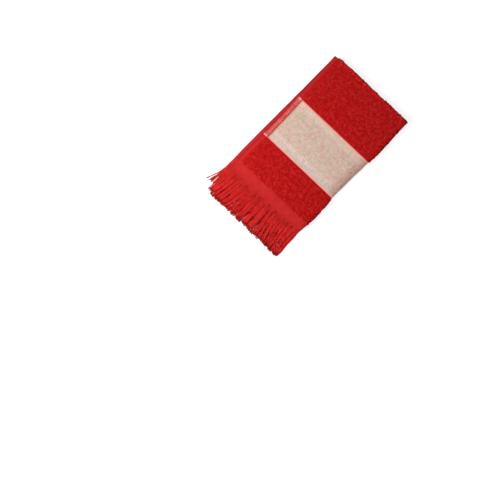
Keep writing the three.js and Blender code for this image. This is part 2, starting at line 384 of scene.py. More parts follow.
@dataclass(frozen=True)
class YarnFinish(Finish):
    """Twisted cotton yarn. It reads how far round and along the yarn a place lies."""

    dark: Colour = srgb(225, 19, 19)
    light: Colour = srgb(237, 56, 55)
    # Root colour, blended in from the yarn's root: on the pile loops it is painted shade at their
    # feet; on the fringe it matches the header's red.
    root: Colour = srgb(216, 20, 20)
    root_reach: float = 0.7
    # Tip colour: painted shadow at the yarns' tips.
    tip: Colour = srgb(120, 8, 8)
    tip_shade_share: float = 0.0
    tip_shade_from: float = 0.88
    # Painted shade for loops that stand on steep sides of the folds, which face away from the
    # light.
    turned: Colour = srgb(70, 9, 9)
    side_shade_share: float = 0.0
    twist: float = 2.4
    phase: float = 60.0
    patch: float = 210.0
    patch_share: float = 0.75
    patch_range: tuple[float, float] = (0.36, 0.64)
    side_shade_range: tuple[float, float] = (0.15, 0.75)

    def paint(self, graph: Graph) -> tuple[Wire, Wire]:
        """Colour that varies from yarn to yarn and darkens at its root, which on the pile is
        painted shade at the loops' feet, with painted shadow at the tips and painted shade on loops
        on steep sides; and the twist's relief.

        Args:
            graph: Graph of the material's nodes.

        Returns:
            The surface's colour and the height of its relief.
        """
        place = graph.node("ShaderNodeTexCoord")["Object"]
        around = graph.trait("around", "Vector")
        shade = graph.trait("shade", "Fac")
        turn = graph.trait("run", "Fac") * (2 * math.pi / (self.twist * MM)) + shade * self.phase
        ply = around.part("X") * turn.sine() + around.part("Y") * turn.cosine()
        patches = graph.noise(place, self.patch).step(*self.patch_range)
        tone = lerp(shade, patches, self.patch_share)
        yarn = graph.blend(tone, self.dark, self.light)
        rise = graph.trait("rise", "Fac")
        # Painted shadow towards each yarn's tip.
        tip_shaded = graph.blend(rise.step(self.tip_shade_from, 1.0) * self.tip_shade_share, yarn, self.tip)
        # Root colour: painted shade at the feet of the pile loops.
        grown = graph.blend(rise.step(0.0, self.root_reach), self.root, tip_shaded)
        # Painted shade on loops that stand on steep sides.
        side = graph.trait("tilt", "Fac").step(*self.side_shade_range) * self.side_shade_share
        return graph.blend(side, grown, self.turned), ply


def ribs(place: Wire, pitch: float) -> Wire:
    """Rounded ribs from 0 to 1, one for each pitch of the place."""
    return (place * (math.pi / pitch)).sine().size()


@dataclass(frozen=True)
class WovenFinish(Finish):
    """Finish laid out on the flat cloth, with the pitted groove beside the band."""

    groove: Colour = srgb(200, 112, 102)
    # Painted shade in the groove's pits.
    pit: Colour = srgb(70, 14, 12)
    pit_pitch: float = 4.5
    pit_edge: tuple[float, float] = (0.5, 0.85)
    band: tuple[float, float] = (84.6, 163.0)
    cloth_width: float = 300.0

    def places(self, graph: Graph) -> tuple[Wire, Wire, Wire, Wire]:
        """Reads the map of the flat cloth, and the distance from its nearer edge.

        Args:
            graph: Graph of the material's nodes.

        Returns:
            The flat place, its parts across and along, and the distance.
        """
        flat = graph.node("ShaderNodeUVMap", {"uv_map": FLAT_MAP})[0]
        across, along = flat.part("X"), flat.part("Y")
        return flat, across, along, across.at_most(self.cloth_width - across)

    def grooved(self, graph: Graph, along: Wire) -> Wire:
        """Colour of the groove, darkened as painted shade in its recess, and its row of pits in
        deeper painted shade.
        """
        pit_shade_mask = (along * (math.pi / self.pit_pitch)).sine() ** 2.0
        return graph.blend(pit_shade_mask.step(*self.pit_edge), self.groove, self.pit)


@dataclass(frozen=True)
class GroundFinish(WovenFinish):
    """Ground weave under the pile, which shows only as shade between its loops."""

    dark: Colour = srgb(158, 14, 14)
    light: Colour = srgb(203, 24, 24)
    pitch: float = 0.6
    cloud: float = 0.4

    def paint(self, graph: Graph) -> tuple[Wire, Wire]:
        """Deep red with fine ribs, darker than the loops as painted shade under the pile.

        Args:
            graph: Graph of the material's nodes.

        Returns:
            The surface's colour and the height of its relief.
        """
        flat, across, _, _ = self.places(graph)
        tone = graph.noise(flat, self.cloud)
        return graph.blend(tone, self.dark, self.light), ribs(across, self.pitch)


@dataclass(frozen=True)
class FlatFinish(WovenFinish):
    """Flat red weave of headers and selvedges, turning pink where cream weft crosses it."""

    red: Colour = srgb(162, 28, 28)
    pale: Colour = srgb(192, 42, 43)
    # Painted shade along the cloth's outer edge.
    edge: Colour = srgb(104, 14, 14)
    pink: Colour = srgb(238, 128, 122)
    warp_pitch: float = 0.5
    weft_pitch: float = 0.72
    weft_share: float = 0.4
    tone_range: tuple[float, float] = (0.35, 1.0)
    pink_edge: float = 7.2
    pink_share: float = 0.8
    edge_shade_run: tuple[float, float] = (0.3, 1.4)
    edge_shade_share: float = 0.75

    def paint(self, graph: Graph) -> tuple[Wire, Wire]:
        """Red plain weave with paler threads, pink beside the band, and painted shade along the
        outer edge.

        Args:
            graph: Graph of the material's nodes.

        Returns:
            The surface's colour and the height of its relief.
        """
        flat, across, along, from_edge = self.places(graph)
        weave = lerp(ribs(across, self.warp_pitch), ribs(along, self.weft_pitch), self.weft_share)
        threads = graph.noise(flat * (1.6, 0.05, 1.0), 1.0)
        cloud = graph.noise(flat, 0.12)
        tone = (weave * 0.35 + threads * 0.45 + cloud * 0.5).step(*self.tone_range)
        red = graph.blend(tone, self.red, self.pale)
        wefts = graph.noise(flat * (0.05, 1.1, 1.0), 1.0).step(0.3, 0.7)
        crossed = wefts * self.pink_share * from_edge.step(0.0, 1.6)
        pink = graph.blend(crossed, red, self.pink)
        past = from_edge.step(self.pink_edge - 0.4, self.pink_edge)
        edged = graph.blend(past, pink, self.grooved(graph, along))
        # Painted shade along the cloth's outer edge.
        rim = (1 - from_edge.step(*self.edge_shade_run)) * self.edge_shade_share
        beside = along.within(*self.band, 1.0)
        return graph.blend(rim, graph.blend(beside, red, edged), self.edge), weave


@dataclass(frozen=True)
class CanvasFinish(WovenFinish):
    """Cream canvas of the band, with red warp that glints through between its threads."""

    cream: Colour = srgb(238, 216, 198)
    pale: Colour = srgb(255, 238, 224)
    rose: Colour = srgb(230, 192, 184)
    sage: Colour = srgb(212, 208, 180)
    gap: Colour = srgb(168, 112, 98)
    rim: Colour = srgb(246, 178, 164)
    rim_edge: Colour = srgb(226, 112, 100)
    thread: float = 0.9
    rim_width: float = 3.0
    rim_start: float = 9.3
    side_narrowing: float = 1.9
    pure_from: float = 143.0
    pure_run: float = 9.0
    tint_share: float = 0.8
    tint_loss: float = 0.5
    gap_share: float = 0.36
    cloud_share: float = 0.12
    # Painted shade of the fold's roll-off, in the red of the gaps where the threads also open over
    # the fold.
    fold_shade_run: tuple[float, float] = (7.0, 21.0)
    fold_shade_share: float = 0.3
    slub: tuple[float, float] = (0.09, 0.9)
    slub_range: tuple[float, float] = (0.35, 0.65)

    def weave(self, graph: Graph, flat: Wire) -> Wire:
        """Height of plain weave with threads of uneven width.

        Args:
            graph: Graph of the material's nodes.
            flat: Flat place on the cloth.

        Returns:
            The height, from 0 to 1.
        """
        wobbled = (flat + (graph.noise(flat, 0.35) - 0.5) * 0.5) * (math.pi / self.thread)
        warp, weft = wobbled.part("X"), wobbled.part("Y")
        over = (warp.cosine() * weft.cosine()).step(-0.25, 0.25)
        return lerp(warp.sine().size(), weft.sine().size(), over)

    def clouded(self, graph: Graph, flat: Wire, along: Wire) -> Wire:
        """Cream with rosy and sage clouds, which fade towards the band's lower end.

        Args:
            graph: Graph of the material's nodes.
            flat: Flat place on the cloth.
            along: Its part along the cloth.

        Returns:
            The colour.
        """
        hue = graph.noise(flat + (40.0, 7.0, 0.0), 0.11, 1.6)
        pure = along.step(self.pure_from, self.pure_from + self.pure_run)
        cream = graph.blend(pure, self.cream, self.pale)
        rosy = (1 - hue.step(0.3, 0.5)) * (1 - self.tint_loss * pure) * self.tint_share
        mossy = hue.step(0.5, 0.7) * (self.tint_share - self.tint_loss * pure)
        return graph.blend(mossy, graph.blend(rosy, cream, self.rose), self.sage)

    def paint(self, graph: Graph) -> tuple[Wire, Wire]:
        """Clouded canvas with red in its gaps, painted shade towards the lengthwise fold, pink
        rims, and a groove at each side.

        Args:
            graph: Graph of the material's nodes.

        Returns:
            The surface's colour and the height of its relief.
        """
        flat, across, along, from_edge = self.places(graph)
        weave = self.weave(graph, flat)
        wefts, warps = (
            graph.noise(flat * (*slub, 1.0), 1.0).step(*self.slub_range)
            for slub in (self.slub, self.slub[::-1])
        )
        cloud = graph.noise(flat, 0.3, 3.0).step(0.38, 0.62)
        loose = (1 - weave.step(0.05, 0.5)) + (1 - lerp(warps, wefts, 0.5))
        deep = loose * self.gap_share + (1 - cloud) * self.cloud_share
        # Darker and redder towards the lengthwise fold: painted shade of its roll-off, with red
        # warp also showing where the threads open.
        turned = 1 - (across - self.cloth_width / 2).size().step(*self.fold_shade_run)
        gap_and_fold_shade = (deep + turned * self.fold_shade_share).at_most(1.0)
        threads = graph.blend(gap_and_fold_shade, self.clouded(graph, flat, along), self.gap)
        side = from_edge - self.rim_start
        ends = (along - self.band[0]).at_most(self.band[1] - along)
        rim = (side * self.side_narrowing).at_most(ends)
        lit = graph.blend(rim.step(self.rim_width * 0.6, self.rim_width * 1.4), self.rim, threads)
        lit = graph.blend(ends.step(0.4, 1.9), self.rim_edge, lit)
        return graph.blend(side.step(-0.4, 0.1), self.grooved(graph, along), lit), weave


@dataclass(frozen=True)
class FloorFinish(Finish):
    """Plain pale studio floor."""

    pale: Colour = srgb(190, 190, 190)
    paler: Colour = srgb(194, 194, 194)

    def paint(self, graph: Graph) -> tuple[Wire, Wire]:
        """Almost even white with a trace of cloud.

        Args:
            graph: Graph of the material's nodes.

        Returns:
            The surface's colour and the height of its relief.
        """
        place = graph.node("ShaderNodeTexCoord")["Object"]
        cloud = graph.noise(place, 2.0)
        return graph.blend(cloud, self.pale, self.paler), cloud


@dataclass(frozen=True)
class PlanRow:
    """Plan of the folded towel at one distance from the end fold."""

    at: float
    fold: float
    outer: float
    inner: float


@dataclass(frozen=True)
class Swell:
    """Wave of the stack's upper face."""

    across_length: float
    along_length: float
    phase: float


@dataclass(frozen=True)
class Layer:
    """Fold sizes for places along the cloth."""

    distance: Array
    outer_share: Array
    outer_radius: Array
    axis_height: Array
    radius: Array
    reach: Array
    edge: Array
    axis: Array
    flat: Array


@dataclass(frozen=True)
class FoldedCloth:
    """Middle surface of the towel as it lies folded: end to end first, and then lengthwise."""

    width: float = 300.0
    length: float = 467.0
    band_start: float = 84.6
    band_end: float = 163.0
    header_start: float = 216.7
    selvedge: float = 6.4
    terry: float = 3.0
    ground: float = 1.2
    gap: float = 0.5
    pile_edge: float = 2.0
    settle_run: float = 14.0
    outer_fold_round: float = 1.5
    inner_fold_round: float = 1.0
    under_tuck: float = 1.5
    selvedge_pull: float = 1.7
    selvedge_pull_fade: float = 8.0
    swell: float = 0.35
    outer_droop: tuple[float, float] = (1.0, 0.9)
    inner_droop: tuple[float, float] = (2.0, 1.4)
    middle_across: float = 67.88
    middle_along: float = 142.15
    slope_step: float = 0.02
    swells: tuple[Swell, ...] = (Swell(19, 41, 0), Swell(-57, 23, 1.3))
    plan: tuple[PlanRow, ...] = (
        PlanRow(0, 147.2, -1.1, -1.1),
        PlanRow(68, 148.3, -0.6, -2.2),
        PlanRow(90, 146.4, 0.9, -3),
        PlanRow(124, 144.8, 1.5, -3.9),
        PlanRow(160, 143.9, 1.4, -4.8),
        PlanRow(176, 145.2, 0.6, -5.2),
        PlanRow(200, 145.3, -0.1, -5.6),
        PlanRow(217, 144.6, 0, -5.6),
        PlanRow(234.5, 142.8, 0.4, -6),
    )

    @property
    def half_length(self) -> float:
        """Length of cloth from the end fold's crest to either fringe."""
        return self.length / 2

    def pile_along(self, along: Array, run: float) -> Array:
        """Share of full pile along the cloth.

        Args:
            along: Places along the cloth.
            run: Distance in which the pile falls away.

        Returns:
            Shares from 0 to 1.
        """
        distance = np.abs(along)
        header = ramp(distance, self.header_start, run)
        band = ramp(distance, self.band_start, run) - ramp(distance, self.band_end - run, run)
        return 1 - header - np.where(along > 0, band, 0)

    def pile_across(self, from_edge: Array) -> Array:
        """Share of full pile at distances from the selvedge's edge."""
        return ramp(from_edge, self.selvedge, self.pile_edge)

    def from_edge(self, across: Array) -> Array:
        """Distance from the nearer edge of the cloth."""
        return np.minimum(across, self.width - across)

    def settled(self, along: Array) -> Array:
        """Thickness that the stack settles to, for a half of the cloth."""
        return lerp(self.ground, self.terry, self.pile_along(along, self.settle_run))

    def radii(self, length: Array) -> tuple[Array, Array, Array]:
        """Radii of the lengthwise fold at a length of cloth from the end fold.

        Args:
            length: Lengths of cloth.

        Returns:
            Inner radius, outer radius and height of the fold's axis.
        """
        inner, outer = self.settled(-length), self.settled(length)
        outer_radius = self.gap / 2 + inner + self.gap + outer / 2
        return (self.gap + inner) / 2, outer_radius, outer_radius + outer / 2

    @property
    def end_radius(self) -> float:
        """Radius of the end fold."""
        inner, outer, _ = self.radii(np.zeros(1))
        return float((outer - inner)[0] / 2)

    def layer(self, along: Array) -> Layer:
        """Fold sizes of the layer that holds each place along the cloth.

        Args:
            along: Places along the cloth.

        Returns:
            The sizes, one for each place.
        """
        end = self.end_radius
        turn = np.clip(along / end, -math.pi / 2, math.pi / 2)
        straight = np.maximum(0, np.abs(along) - end * math.pi / 2)
        distance = end * (1 - np.cos(turn)) + straight
        outer_share = (1 + np.sin(turn)) / 2
        inner_radius, outer_radius, axis_height = self.radii(np.abs(along))
        radius = lerp(inner_radius, outer_radius, outer_share)
        reach = radius * lerp(self.inner_fold_round, self.outer_fold_round, outer_share)
        inner, outer, fold = (
            between_rows(self.plan, column, distance) for column in ("inner", "outer", "fold")
        )
        return Layer(
            distance=distance,
            outer_share=outer_share,
            outer_radius=outer_radius,
            axis_height=axis_height,
            radius=radius,
            reach=reach,
            edge=lerp(inner, outer, outer_share),
            axis=fold - outer_radius * self.outer_fold_round,
            flat=self.width / 2 - (radius + reach) * math.pi / 4,
        )

    def point(self, along: Array, across: Array) -> Array:
        """Place of the middle surface.

        Args:
            along: Places along the cloth.
            across: Places across it.

        Returns:
            Points in millimetres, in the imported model's frame.
        """
        along, across = np.broadcast_arrays(np.asarray(along, float), np.asarray(across, float))
        layer = self.layer(along)
        upper = across <= self.width / 2
        from_edge = self.from_edge(across)
        angle = np.clip((from_edge - layer.flat) / (self.width / 2 - layer.flat), 0, 1)
        angle = angle * math.pi / 2
        edge = layer.edge + np.where(upper, 0, self.under_tuck)
        x = lerp(edge, layer.axis, np.minimum(from_edge / layer.flat, 1))
        x = x + layer.reach * np.sin(angle)
        pull = np.exp(-layer.distance / self.selvedge_pull_fade)
        y = layer.distance + self.selvedge_pull * (1 - self.pile_across(from_edge)) * pull
        level = layer.axis_height + np.where(upper, 1, -1) * layer.radius * np.cos(angle)
        floor_layer = layer.axis_height - layer.outer_radius
        waves = [
            np.sin(x / wave.across_length + y / wave.along_length + wave.phase)
            for wave in self.swells
        ]
        swell = self.swell * sum(waves) / len(waves)
        height = (level - floor_layer) / (2 * layer.outer_radius) * swell
        upper_droop = lerp(self.inner_droop[0], self.outer_droop[0], layer.outer_share)
        under_droop = lerp(self.inner_droop[1], self.outer_droop[1], layer.outer_share)
        droop = np.where(upper, upper_droop, under_droop)
        droop = droop * self.pile_along(along, self.settle_run)
        z = level + height - droop * (1 - ramp(from_edge, 0, self.selvedge))
        return np.stack([x - self.middle_across, self.middle_along - y, z], axis=-1)

    def normal(self, along: Array, across: Array) -> Array:
        """Direction out of the cloth's outer side.

        Args:
            along: Places along the cloth.
            across: Places across it.

        Returns:
            Vectors of length 1.
        """
        step = self.slope_step
        low = np.maximum(across - step, 0)
        high = np.minimum(across + step, self.width)
        ahead = self.point(along + step, across) - self.point(along - step, across)
        return unit(np.cross(ahead, self.point(along, high) - self.point(along, low)))


def place_mesh(name: str, points: Array, edges: Sequence, faces: Sequence) -> bpy.types.Object:
    """Makes an object from points in millimetres.

    Args:
        name: Name of the object and its mesh.
        points: One row for each point.
        edges: Pairs of point numbers, for a mesh without faces.
        faces: Point numbers of each face.

    Returns:
        The object, at the origin, linked to the scene.
    """
    mesh = bpy.data.meshes.new(name)
    mesh.from_pydata((np.asarray(points) * MM).tolist(), list(edges), list(faces))
    mesh.shade_smooth()
    made = bpy.data.objects.new(name, mesh)
    bpy.context.scene.collection.objects.link(made)
    return made


def add_trait(made: bpy.types.Object, name: str, values: Array) -> None:
    """Stores a named number or vector on each point of an object's mesh.

    Args:
        made: The object.
        name: The attribute's name.
        values: One number or vector for each point.
    """
    vectors = np.ndim(values) == 2
    kind = "FLOAT_VECTOR" if vectors else "FLOAT"
    attribute = made.data.attributes.new(name, kind, "POINT")
    flat = np.asarray(values, np.float32).ravel()
    attribute.data.foreach_set("vector" if vectors else "value", flat)


def grid_faces(rows: int, columns: int) -> Array:
    """Four-sided faces of a net of points, row by row."""
    corner = (np.arange(rows - 1)[:, None] * columns + np.arange(columns - 1)).ravel()
    return np.stack([corner, corner + columns, corner + columns + 1, corner + 1], axis=-1)


class ShapeTree:
    """Geometry Nodes tree with named inputs, whose result becomes a plain mesh."""

    def __init__(self, name: str) -> None:
        """Starts a tree that takes geometry and a material.

        Args:
            name: The tree's name.
        """
        self.group = bpy.data.node_groups.new(name, "GeometryNodeTree")
        self.graph = Graph(self.group)
        self.group.interface.new_socket(
            "Geometry", in_out="OUTPUT", socket_type="NodeSocketGeometry"
        )
        self.entry = self.group.nodes.new("NodeGroupInput")
        self.source = self.take("Geometry", "NodeSocketGeometry")
        self.material = self.take("Material", "NodeSocketMaterial")

    def take(self, name: str, kind: str = "NodeSocketFloat") -> Wire:
        """Adds a named input and returns its wire."""
        self.group.interface.new_socket(name, in_out="INPUT", socket_type=kind)
        return Wire(self.graph, self.entry.outputs[name])

    def store(self, geometry: Wire, name: str, value: Wire, domain: str = "POINT") -> Wire:
        """Stores a named attribute.

        Args:
            geometry: What carries it.
            name: The attribute's name.
            value: Its value.
            domain: Points, curves or instances.

        Returns:
            The geometry with the attribute.
        """
        kind = "FLOAT_VECTOR" if value.is_vector else "FLOAT"
        return self.graph.node(
            "GeometryNodeStoreNamedAttribute",
            {"data_type": kind, "domain": domain},
            {"Geometry": geometry, "Name": name, "Value": value},
        )[0]

    def read(self, name: str, kind: str = "FLOAT") -> Wire:
        """Reads a named attribute of a kind."""
        node = self.graph.node("GeometryNodeInputNamedAttribute", {"data_type": kind}, {0: name})
        return node["Attribute"]

    def chance(self, low: Term, high: Term, seed: Wire) -> Wire:
        """Random number, or vector of them, for each point or instance.

        Args:
            low: Lowest value.
            high: Highest value.
            seed: Number that fixes the choice.

        Returns:
            Values between the two.
        """
        kind = "FLOAT_VECTOR" if isinstance(low, tuple) else "FLOAT"
        values = {"Min": low, "Max": high, "Seed": seed}
        return self.graph.node("FunctionNodeRandomValue", {"data_type": kind}, values)[0]

    def tube(self, path: Wire, radius: Wire, sides: int) -> Wire:
        """Sweeps a yarn along a curve, and stores how far round and along it each point lies.

        Args:
            path: The curve.
            radius: The yarn's radius.
            sides: Number of the yarn's sides.

        Returns:
            The yarn's mesh.
        """
        node = self.graph.node
        ring = node("GeometryNodeCurvePrimitiveCircle", values={"Resolution": sides, "Radius": 1.0})
        ring = self.store(ring[0], "around", node("GeometryNodeInputPosition")[0])
        path = self.store(path, "run", node("GeometryNodeSplineParameter")["Length"])
        swept = {"Curve": path, "Profile Curve": ring, "Scale": radius, "Fill Caps": True}
        return node("GeometryNodeCurveToMesh", values=swept)[0]

    def close(self, geometry: Wire) -> None:
        """Ends the tree with realized instances, smooth faces and the material.

        Args:
            geometry: What the tree has made.
        """
        node = self.graph.node
        made = node("GeometryNodeRealizeInstances", values={"Geometry": geometry})[0]
        made = node("GeometryNodeSetShadeSmooth", values={"Geometry": made})[0]
        values = {"Geometry": made, "Material": self.material}
        node("NodeGroupOutput", values={0: node("GeometryNodeSetMaterial", values=values)[0]})

    def apply(self, carrier: bpy.types.Object, values: Mapping[str, Any]) -> bpy.types.Object:
        """Runs the tree on an object and leaves its result as the object's own mesh.

        Args:
            carrier: Object whose mesh the tree starts from.
            values: Value of each named input.

        Returns:
            The same object.
        """
        modifier = carrier.modifiers.new(self.group.name, "NODES")
        modifier.node_group = self.group
        for item in self.group.interface.items_tree:
            if item.in_out == "INPUT" and item.name in values:
                modifier[item.identifier] = values[item.name]
        bpy.context.view_layer.update()
        evaluated = bpy.context.evaluated_depsgraph_get()
        mesh = bpy.data.meshes.new_from_object(
            carrier.evaluated_get(evaluated), preserve_all_data_layers=True, depsgraph=evaluated
        )
        start = carrier.data
        carrier.modifiers.clear()
        carrier.data = mesh
        bpy.data.meshes.remove(start)
        mesh.name = carrier.name
        return carrier


class LoopTree(ShapeTree):
    """Scatters yarn loops over a surface: the pile of terry."""

    VARIANTS = ((230.0, 1.0, 1.0), (250.0, 0.8, 1.1), (205.0, 1.25, 0.85))
    SIDES = 3
    MOST_PER_AREA = 4e6
    STRAY = 0.35
    PUFF_SCALE = 0.7
    PUFF_RANGE = (0.35, 0.65)

    def __init__(self) -> None:
        """Builds the tree."""
        super().__init__("terry_loops")
        node = self.graph.node
        spacing = self.take("Spacing")
        yarn = self.take("Yarn radius")
        loop = self.take("Loop radius")
        self.steps = self.take("Loop points", "NodeSocketInt")
        sunk = self.take("Sunk feet")
        lean = self.take("Lean")
        clump = self.take("Clump scale")
        low = self.take("Lowest size")
        high = self.take("Highest size")
        seed = self.take("Seed", "NodeSocketInt")
        spread = node(
            "GeometryNodeDistributePointsOnFaces",
            {"distribute_method": "POISSON"},
            {
                "Mesh": self.source,
                "Distance Min": spacing,
                "Density Max": self.MOST_PER_AREA,
                "Seed": seed,
            },
        )
        place = node("GeometryNodeInputPosition")[0]
        drift = node("ShaderNodeTexNoise", values={"Vector": place, "Scale": clump})["Color"]
        stray = self.chance((-self.STRAY,) * 3, (self.STRAY,) * 3, seed + 1)
        upright = spread["Normal"] + (drift - 0.5) * lean + stray
        aligned = node(
            "FunctionNodeAlignRotationToVector", {"axis": "Z"}, {"Vector": upright}
        )[0]
        spin = self.graph.vector(0.0, 0.0, self.chance(0.0, 2 * math.pi, seed + 2))
        turned = node(
            "FunctionNodeRotateRotation",
            {"rotation_space": "LOCAL"},
            {"Rotation": aligned, "Rotate By": spin},
        )[0]
        loops = [self.loop(loop, yarn, sunk, *variant) for variant in self.VARIANTS]
        kinds = node("GeometryNodeGeometryToInstance", values={0: loops})[0]
        swollen = {"Vector": place, "Scale": clump * self.PUFF_SCALE}
        swollen = node("ShaderNodeTexNoise", values=swollen)
        puffs = swollen["Fac"].step(*self.PUFF_RANGE)
        size = lerp(low, high, (self.chance(0.0, 1.0, seed + 3) + puffs) * 0.5)
        instances = node(
            "GeometryNodeInstanceOnPoints",
            values={
                "Points": spread["Points"],
                "Instance": kinds,
                "Pick Instance": True,
                "Instance Index": self.chance(0.0, len(self.VARIANTS) - 0.01, seed + 4),
                "Rotation": turned,
                "Scale": size,
            },
        )[0]
        instances = self.store(instances, "shade", self.chance(0.0, 1.0, seed + 5), "INSTANCE")
        # How steeply the ground stands under each loop, which the loops' material turns into
        # painted shade.
        tilt = 1 - spread["Normal"].part("Z").size()
        instances = self.store(instances, "tilt", tilt, "INSTANCE")
        loops = node("GeometryNodeRealizeInstances", values={"Geometry": instances})[0]
        above = self.graph.vector(place.part("X"), place.part("Y"), place.part("Z").at_least(0.0))
        values = {"Geometry": loops, "Position": above}
        self.close(node("GeometryNodeSetPosition", values=values)[0])

    def loop(
        self, radius: Wire, yarn: Wire, sunk: Wire, sweep: float, wide: float, high: float
    ) -> Wire:
        """One standing loop of yarn.

        Args:
            radius: Radius of the loop's arc.
            yarn: Radius of its yarn.
            sunk: Depth of its feet below the ground.
            sweep: Angle of the arc in degrees.
            wide: Width against a round arc.
            high: Height against a round arc.

        Returns:
            The loop's mesh, which stands on the XY plane.
        """
        node = self.graph.node
        start = math.radians(90 - sweep / 2)
        arc = node(
            "GeometryNodeCurveArc",
            values={
                "Resolution": self.steps,
                "Radius": 1.0,
                "Start Angle": start,
                "Sweep Angle": math.radians(sweep),
            },
        )[0]
        factor = node("GeometryNodeSplineParameter")["Factor"]
        arc = self.store(arc, "rise", (factor * math.pi).sine())
        lifted = radius * (-math.sin(start) * high) - sunk
        standing = node(
            "GeometryNodeTransform",
            values={
                "Geometry": arc,
                "Translation": self.graph.vector(0.0, 0.0, lifted),
                "Rotation": (math.pi / 2, 0.0, 0.0),
                "Scale": self.graph.vector(radius * wide, radius * high, 1.0),
            },
        )[0]
        return self.tube(standing, yarn, self.SIDES)


class YarnTree(ShapeTree):
    """Grows yarns round guide lines: even at the root, and gathered into locks further down."""

    SIDES = 4
    GATHER_RUN = 0.2
    TURNS = 0.8
    SWAYS = 1.7
    CURL_SCALE = 90.0

    def __init__(self) -> None:
        """Builds the tree."""
        super().__init__("gathered_yarns")
        node = self.graph.node
        radius = self.take("Yarn radius")
        points = self.take("Yarn points", "NodeSocketInt")
        wave = self.take("Wave")
        frizz = self.take("Frizz")
        ragged = self.take("Ragged")
        taper = self.take("Tip size")
        seed = self.take("Seed", "NodeSocketInt")
        guides = node("GeometryNodeMeshToCurve", values={"Mesh": self.source})[0]
        guides = node("GeometryNodeResampleCurve", values={"Curve": guides, "Count": points})[0]
        copies = node(
            "GeometryNodeDuplicateElements",
            {"domain": "SPLINE"},
            {"Geometry": guides, "Amount": self.read("strands")},
        )
        lane = (copies["Duplicate Index"] + 0.5) / self.read("strands") - 0.5
        yarns = self.store(copies["Geometry"], "lane", lane, "CURVE")
        dice = self.chance((0.0, 0.0, 0.0), (1.0, 1.0, 1.0), seed)
        yarns = self.store(yarns, "dice", dice, "CURVE")
        shade = lerp(self.chance(0.0, 1.0, seed + 1), self.read("tone"), 0.5)
        yarns = self.store(yarns, "shade", shade, "CURVE")
        dice = self.read("dice", "FLOAT_VECTOR")
        end = 1 - ragged * dice.part("X")
        yarns = node("GeometryNodeTrimCurve", {"mode": "FACTOR"}, {"Curve": yarns, "End": end})[0]
        share = node("GeometryNodeSplineParameter")["Factor"]
        onset = self.read("onset")
        gather = share.step(onset, onset + self.GATHER_RUN) * self.read("bunch")
        turn = (dice.part("Y") + share * self.TURNS) * (2 * math.pi)
        far = dice.part("Z") ** 0.5
        sway = ((share * self.SWAYS + dice.part("X")) * (2 * math.pi)).sine() * share * wave
        even = self.read("lane") * self.read("pitch")
        aside = lerp(even, turn.cosine() * far * self.read("girth"), gather) + sway
        above = turn.sine() * far * self.read("depth") * gather
        place = node("GeometryNodeInputPosition")[0]
        curl = {"Vector": place + dice, "Scale": self.CURL_SCALE}
        curl = node("ShaderNodeTexNoise", values=curl)["Color"]
        loose = (curl - 0.5) * (share * share * frizz)
        side = self.read("side", "FLOAT_VECTOR")
        up = self.read("up", "FLOAT_VECTOR")
        offset = side * aside + up * above + loose
        yarns = node("GeometryNodeSetPosition", values={"Geometry": yarns, "Offset": offset})[0]
        height = place.part("Z").at_least(radius)
        resting = self.graph.vector(place.part("X"), place.part("Y"), height)
        yarns = node("GeometryNodeSetPosition", values={"Geometry": yarns, "Position": resting})[0]
        yarns = self.store(yarns, "rise", share)
        self.close(self.tube(yarns, radius * lerp(1.0, taper, share), self.SIDES))


